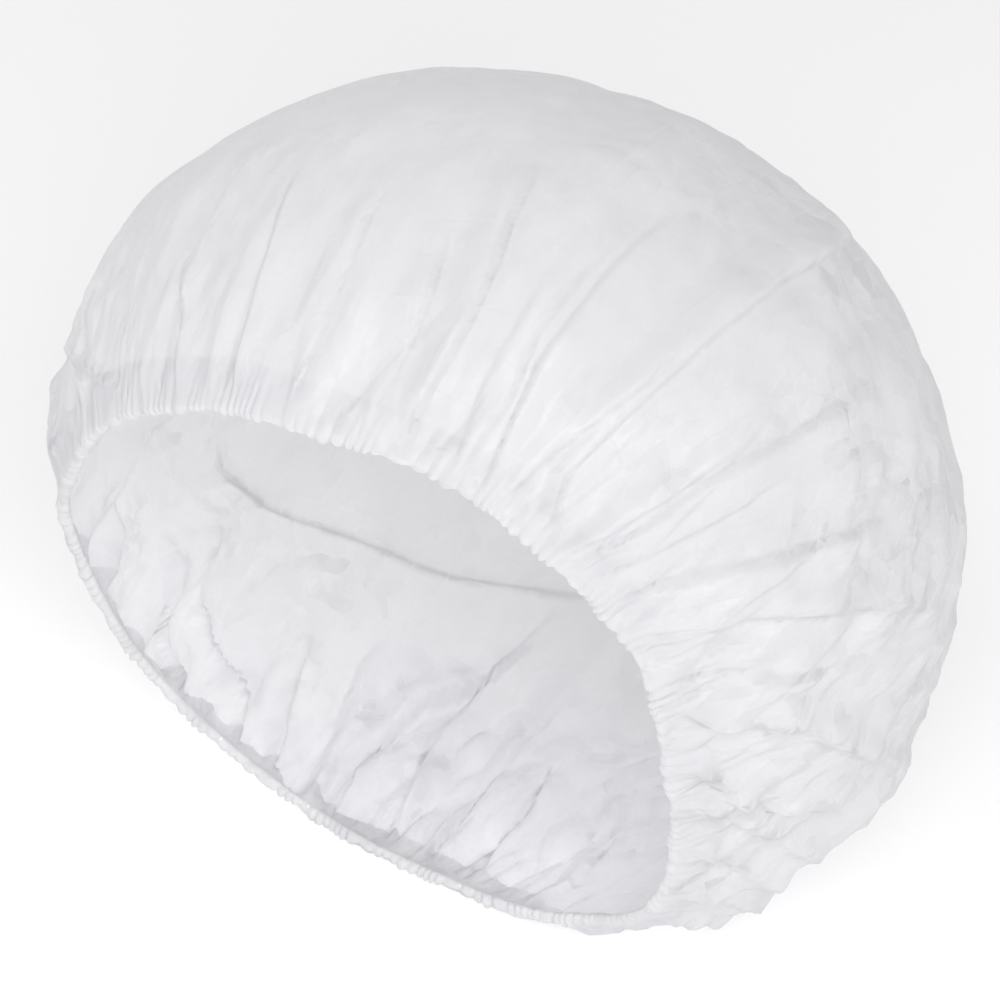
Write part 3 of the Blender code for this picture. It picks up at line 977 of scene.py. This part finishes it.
def film_material():
    """Milky satin film: Principled and Translucent mixed, its direction leaning in facets."""
    material, tree, output = fresh_material("milky_film")
    flat = add_node(tree, "ShaderNodeUVMap", uv_map="flat_sheet").outputs["UV"]
    warp = noise(tree, flat, 36.0, 1.0).outputs["Color"]
    warped = vector_maths(tree, "ADD", flat, vector_maths(tree, "SCALE", warp, scale=0.006))
    rows = add_node(tree, "ShaderNodeVectorRotate", {"Angle": PACKED_TURN}, rotation_type="Z_AXIS")
    tree.links.new(warped, rows.inputs["Vector"])

    # each small facet leans its own way, so its edges are sharp without any geometry
    tilt = None
    for scale, strength, distance in TILTS:
        cells = voronoi(tree, rows.outputs[0], scale, distance)
        lean = vector_maths(tree, "SUBTRACT", cells.outputs["Color"], (0.5, 0.5, 0.5))
        lean = vector_maths(tree, "SCALE", lean, scale=strength)
        tilt = lean if tilt is None else vector_maths(tree, "ADD", tilt, lean)
    cloud = noise(tree, flat, 22.0, 1.0).outputs["Fac"]
    lively = add_node(tree, "ShaderNodeAttribute", attribute_name="lively").outputs["Fac"]
    tilt = vector_maths(tree, "MULTIPLY", tilt, ranged(tree, cloud, 0.35, 0.65, 0.7, 1.2))
    tilt = vector_maths(tree, "MULTIPLY", tilt, lively)

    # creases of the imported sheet: straight lines at uneven distances, shown in stretches
    axes = add_node(tree, "ShaderNodeSeparateXYZ")
    tree.links.new(rows.outputs[0], axes.inputs[0])
    shown = noise(tree, flat, 48.0, 0.0).outputs["Fac"]
    creased = None
    for axis, low, high in (("X", 0.52, 0.60), ("Y", 0.48, 0.40)):
        lines = add_node(tree, "ShaderNodeTexVoronoi", {"Scale": 75.0, "Randomness": 0.9},
                         feature="DISTANCE_TO_EDGE", voronoi_dimensions="1D")
        tree.links.new(axes.outputs[axis], lines.inputs["W"])
        line = ranged(tree, lines.outputs["Distance"], 0.0, 0.07, 1.0, 0.0)
        line = maths(tree, "MULTIPLY", line, ranged(tree, shown, low, high))
        creased = line if creased is None else maths(tree, "MAXIMUM", creased, line)
    folded = add_node(tree, "ShaderNodeCombineXYZ")
    tree.links.new(creased, folded.inputs["X"])
    tree.links.new(creased, folded.inputs["Z"])
    folded = vector_maths(tree, "SCALE", folded.outputs[0], scale=0.34)
    waves = noise(tree, flat, 150.0, 0.0)
    wavy = vector_maths(tree, "SUBTRACT", waves.outputs["Color"], (0.5, 0.5, 0.5))
    wavy = vector_maths(tree, "ADD", vector_maths(tree, "SCALE", wavy, scale=0.22), folded)
    straight = add_node(tree, "ShaderNodeNewGeometry").outputs["Normal"]
    tilt = vector_maths(tree, "ADD", tilt, wavy)
    normal = vector_maths(tree, "NORMALIZE", vector_maths(tree, "ADD", straight, tilt))

    tint = add_node(tree, "ShaderNodeMix", data_type="RGBA")
    tint.inputs["A"].default_value = (0.83, 0.83, 0.835, 1.0)
    tint.inputs["B"].default_value = (0.87, 0.87, 0.865, 1.0)
    tree.links.new(ranged(tree, cloud, 0.35, 0.65), tint.inputs["Factor"])
    rough = ranged(tree, waves.outputs["Fac"], 0.3, 0.7, 0.34, 0.46)

    skin = add_node(tree, "ShaderNodeBsdfPrincipled", {"IOR": 1.45, "Metallic": 0.0})
    tree.links.new(tint.outputs["Result"], skin.inputs["Base Color"])
    tree.links.new(rough, skin.inputs["Roughness"])
    tree.links.new(normal, skin.inputs["Normal"])
    through = add_node(tree, "ShaderNodeBsdfTranslucent", {"Color": (0.905, 0.90, 0.93, 1.0)})
    tree.links.new(normal, through.inputs["Normal"])
    both = add_node(tree, "ShaderNodeMixShader", {"Fac": 0.53})
    tree.links.new(skin.outputs[0], both.inputs[1])
    tree.links.new(through.outputs[0], both.inputs[2])
    tree.links.new(both.outputs[0], output.inputs["Surface"])
    return material


film_piece.data.materials.append(film_material())
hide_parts("film_crown")
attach(film_piece, "root")

# %% [markdown]
# ## The elastic's finish
#
# The elastic is a thin white band of rubber thread in the hem. It hardly shows, but where
# the film lets light through it does. The CAD solid has its true shape, so it stays and
# gets a finish: fine ribs across the thread, uneven and matt.


# %% Elastic material
def elastic_material():
    """Matt white thread with fine ribs and a little yellowing."""
    material, tree, output = fresh_material("ribbed_elastic")
    place = add_node(tree, "ShaderNodeTexCoord").outputs["Object"]
    ribs = add_node(tree, "ShaderNodeTexVoronoi", {"Scale": 1400.0}, feature="F1")
    tree.links.new(place, ribs.inputs["Vector"])
    cloud = noise(tree, place, 60.0, 3.0).outputs["Fac"]
    tint = add_node(tree, "ShaderNodeMix", data_type="RGBA")
    tint.inputs["A"].default_value = (0.84, 0.83, 0.79, 1.0)
    tint.inputs["B"].default_value = (0.90, 0.90, 0.89, 1.0)
    tree.links.new(ranged(tree, cloud, 0.35, 0.65), tint.inputs["Factor"])
    bump = add_node(tree, "ShaderNodeBump", {"Strength": 0.4, "Distance": 0.0001})
    tree.links.new(ribs.outputs["Distance"], bump.inputs["Height"])
    skin = add_node(tree, "ShaderNodeBsdfPrincipled", {"Metallic": 0.0})
    tree.links.new(tint.outputs["Result"], skin.inputs["Base Color"])
    tree.links.new(ranged(tree, ribs.outputs["Distance"], 0.0, 0.6, 0.5, 0.7),
                   skin.inputs["Roughness"])
    tree.links.new(bump.outputs[0], skin.inputs["Normal"])
    tree.links.new(skin.outputs[0], output.inputs["Surface"])
    return material


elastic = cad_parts["elastic_band"]
elastic.data.materials.clear()
elastic.data.materials.append(elastic_material())

# %% [markdown]
# ## Floor and light
#
# The cap was photographed on pure white. Here it lies on a pale floor under large soft
# lights: the wide one at the front left fills the mouth, and the top right edge stays a
# little darker.

# %% Floor
FLOOR_HALF = 3.0
corners = [(-FLOOR_HALF, -FLOOR_HALF), (FLOOR_HALF, -FLOOR_HALF),
           (FLOOR_HALF, FLOOR_HALF), (-FLOOR_HALF, FLOOR_HALF)]
floor_mesh = bpy.data.meshes.new("floor")
floor_mesh.from_pydata([(x, y, 0.0) for x, y in corners], [], [(0, 1, 2, 3)])
floor = bpy.data.objects.new("floor", floor_mesh)
bpy.context.scene.collection.objects.link(floor)
floor_finish, tree, output = fresh_material("pale_floor")
grain = noise(tree, add_node(tree, "ShaderNodeTexCoord").outputs["Object"], 3.0).outputs["Fac"]
paint = add_node(tree, "ShaderNodeBsdfPrincipled", {
    "Base Color": (0.93, 0.93, 0.93, 1.0), "Emission Color": (1.0, 1.0, 1.0, 1.0),
    "Emission Strength": 0.24})
tree.links.new(ranged(tree, grain, 0.3, 0.7, 0.75, 0.85), paint.inputs["Roughness"])
tree.links.new(paint.outputs[0], output.inputs["Surface"])
floor_mesh.materials.append(floor_finish)

# %% Lights
# name, azimuth and elevation in degrees, distance, size, power.
LAMPS = [
    ("key", -56, 30, 1.4, 0.60, 2.3),
    ("fill", 38, 34, 1.5, 0.80, 12.8),
]


WORLD_LIGHT = 0.57
DARK_SIDE = 0.75 * view_right + 0.65 * view_up - 0.25 * view_back


def add_lamp(name, azimuth, elevation, distance, size, power):
    """A square soft light aimed at the cap's middle."""
    azimuth, elevation = math.radians(azimuth), math.radians(elevation)
    aim = Vector((math.sin(azimuth) * math.cos(elevation),
                  -math.cos(azimuth) * math.cos(elevation), math.sin(elevation)))
    data = bpy.data.lights.new(name, "AREA")
    data.size = size
    data.energy = power
    lamp = bpy.data.objects.new(name, data)
    lamp.location = Vector(CAP_MIDDLE) + distance * aim
    lamp.rotation_euler = aim.to_track_quat("Z", "Y").to_euler()
    bpy.context.scene.collection.objects.link(lamp)


for lamp in LAMPS:
    add_lamp(*lamp)
world = bpy.data.worlds.new("studio")
world.use_nodes = True
tree = world.node_tree
tree.nodes["Background"].inputs["Color"].default_value = (1.0, 1.0, 1.0, 1.0)
from_where = add_node(tree, "ShaderNodeTexCoord")
towards = add_node(tree, "ShaderNodeVectorMath", operation="DOT_PRODUCT")
towards.inputs[1].default_value = Vector(DARK_SIDE).normalized()
tree.links.new(from_where.outputs["Generated"], towards.inputs[0])
dimmed = add_node(tree, "ShaderNodeMapRange", {
    "From Min": 0.60, "From Max": 1.0, "To Min": WORLD_LIGHT, "To Max": 0.3 * WORLD_LIGHT},
    interpolation_type="SMOOTHSTEP")
tree.links.new(towards.outputs["Value"], dimmed.inputs["Value"])
tree.links.new(dimmed.outputs["Result"], tree.nodes["Background"].inputs["Strength"])
world.cycles.sampling_method = "NONE"
bpy.context.scene.world = world
bpy.context.scene.view_settings.view_transform = "Standard"
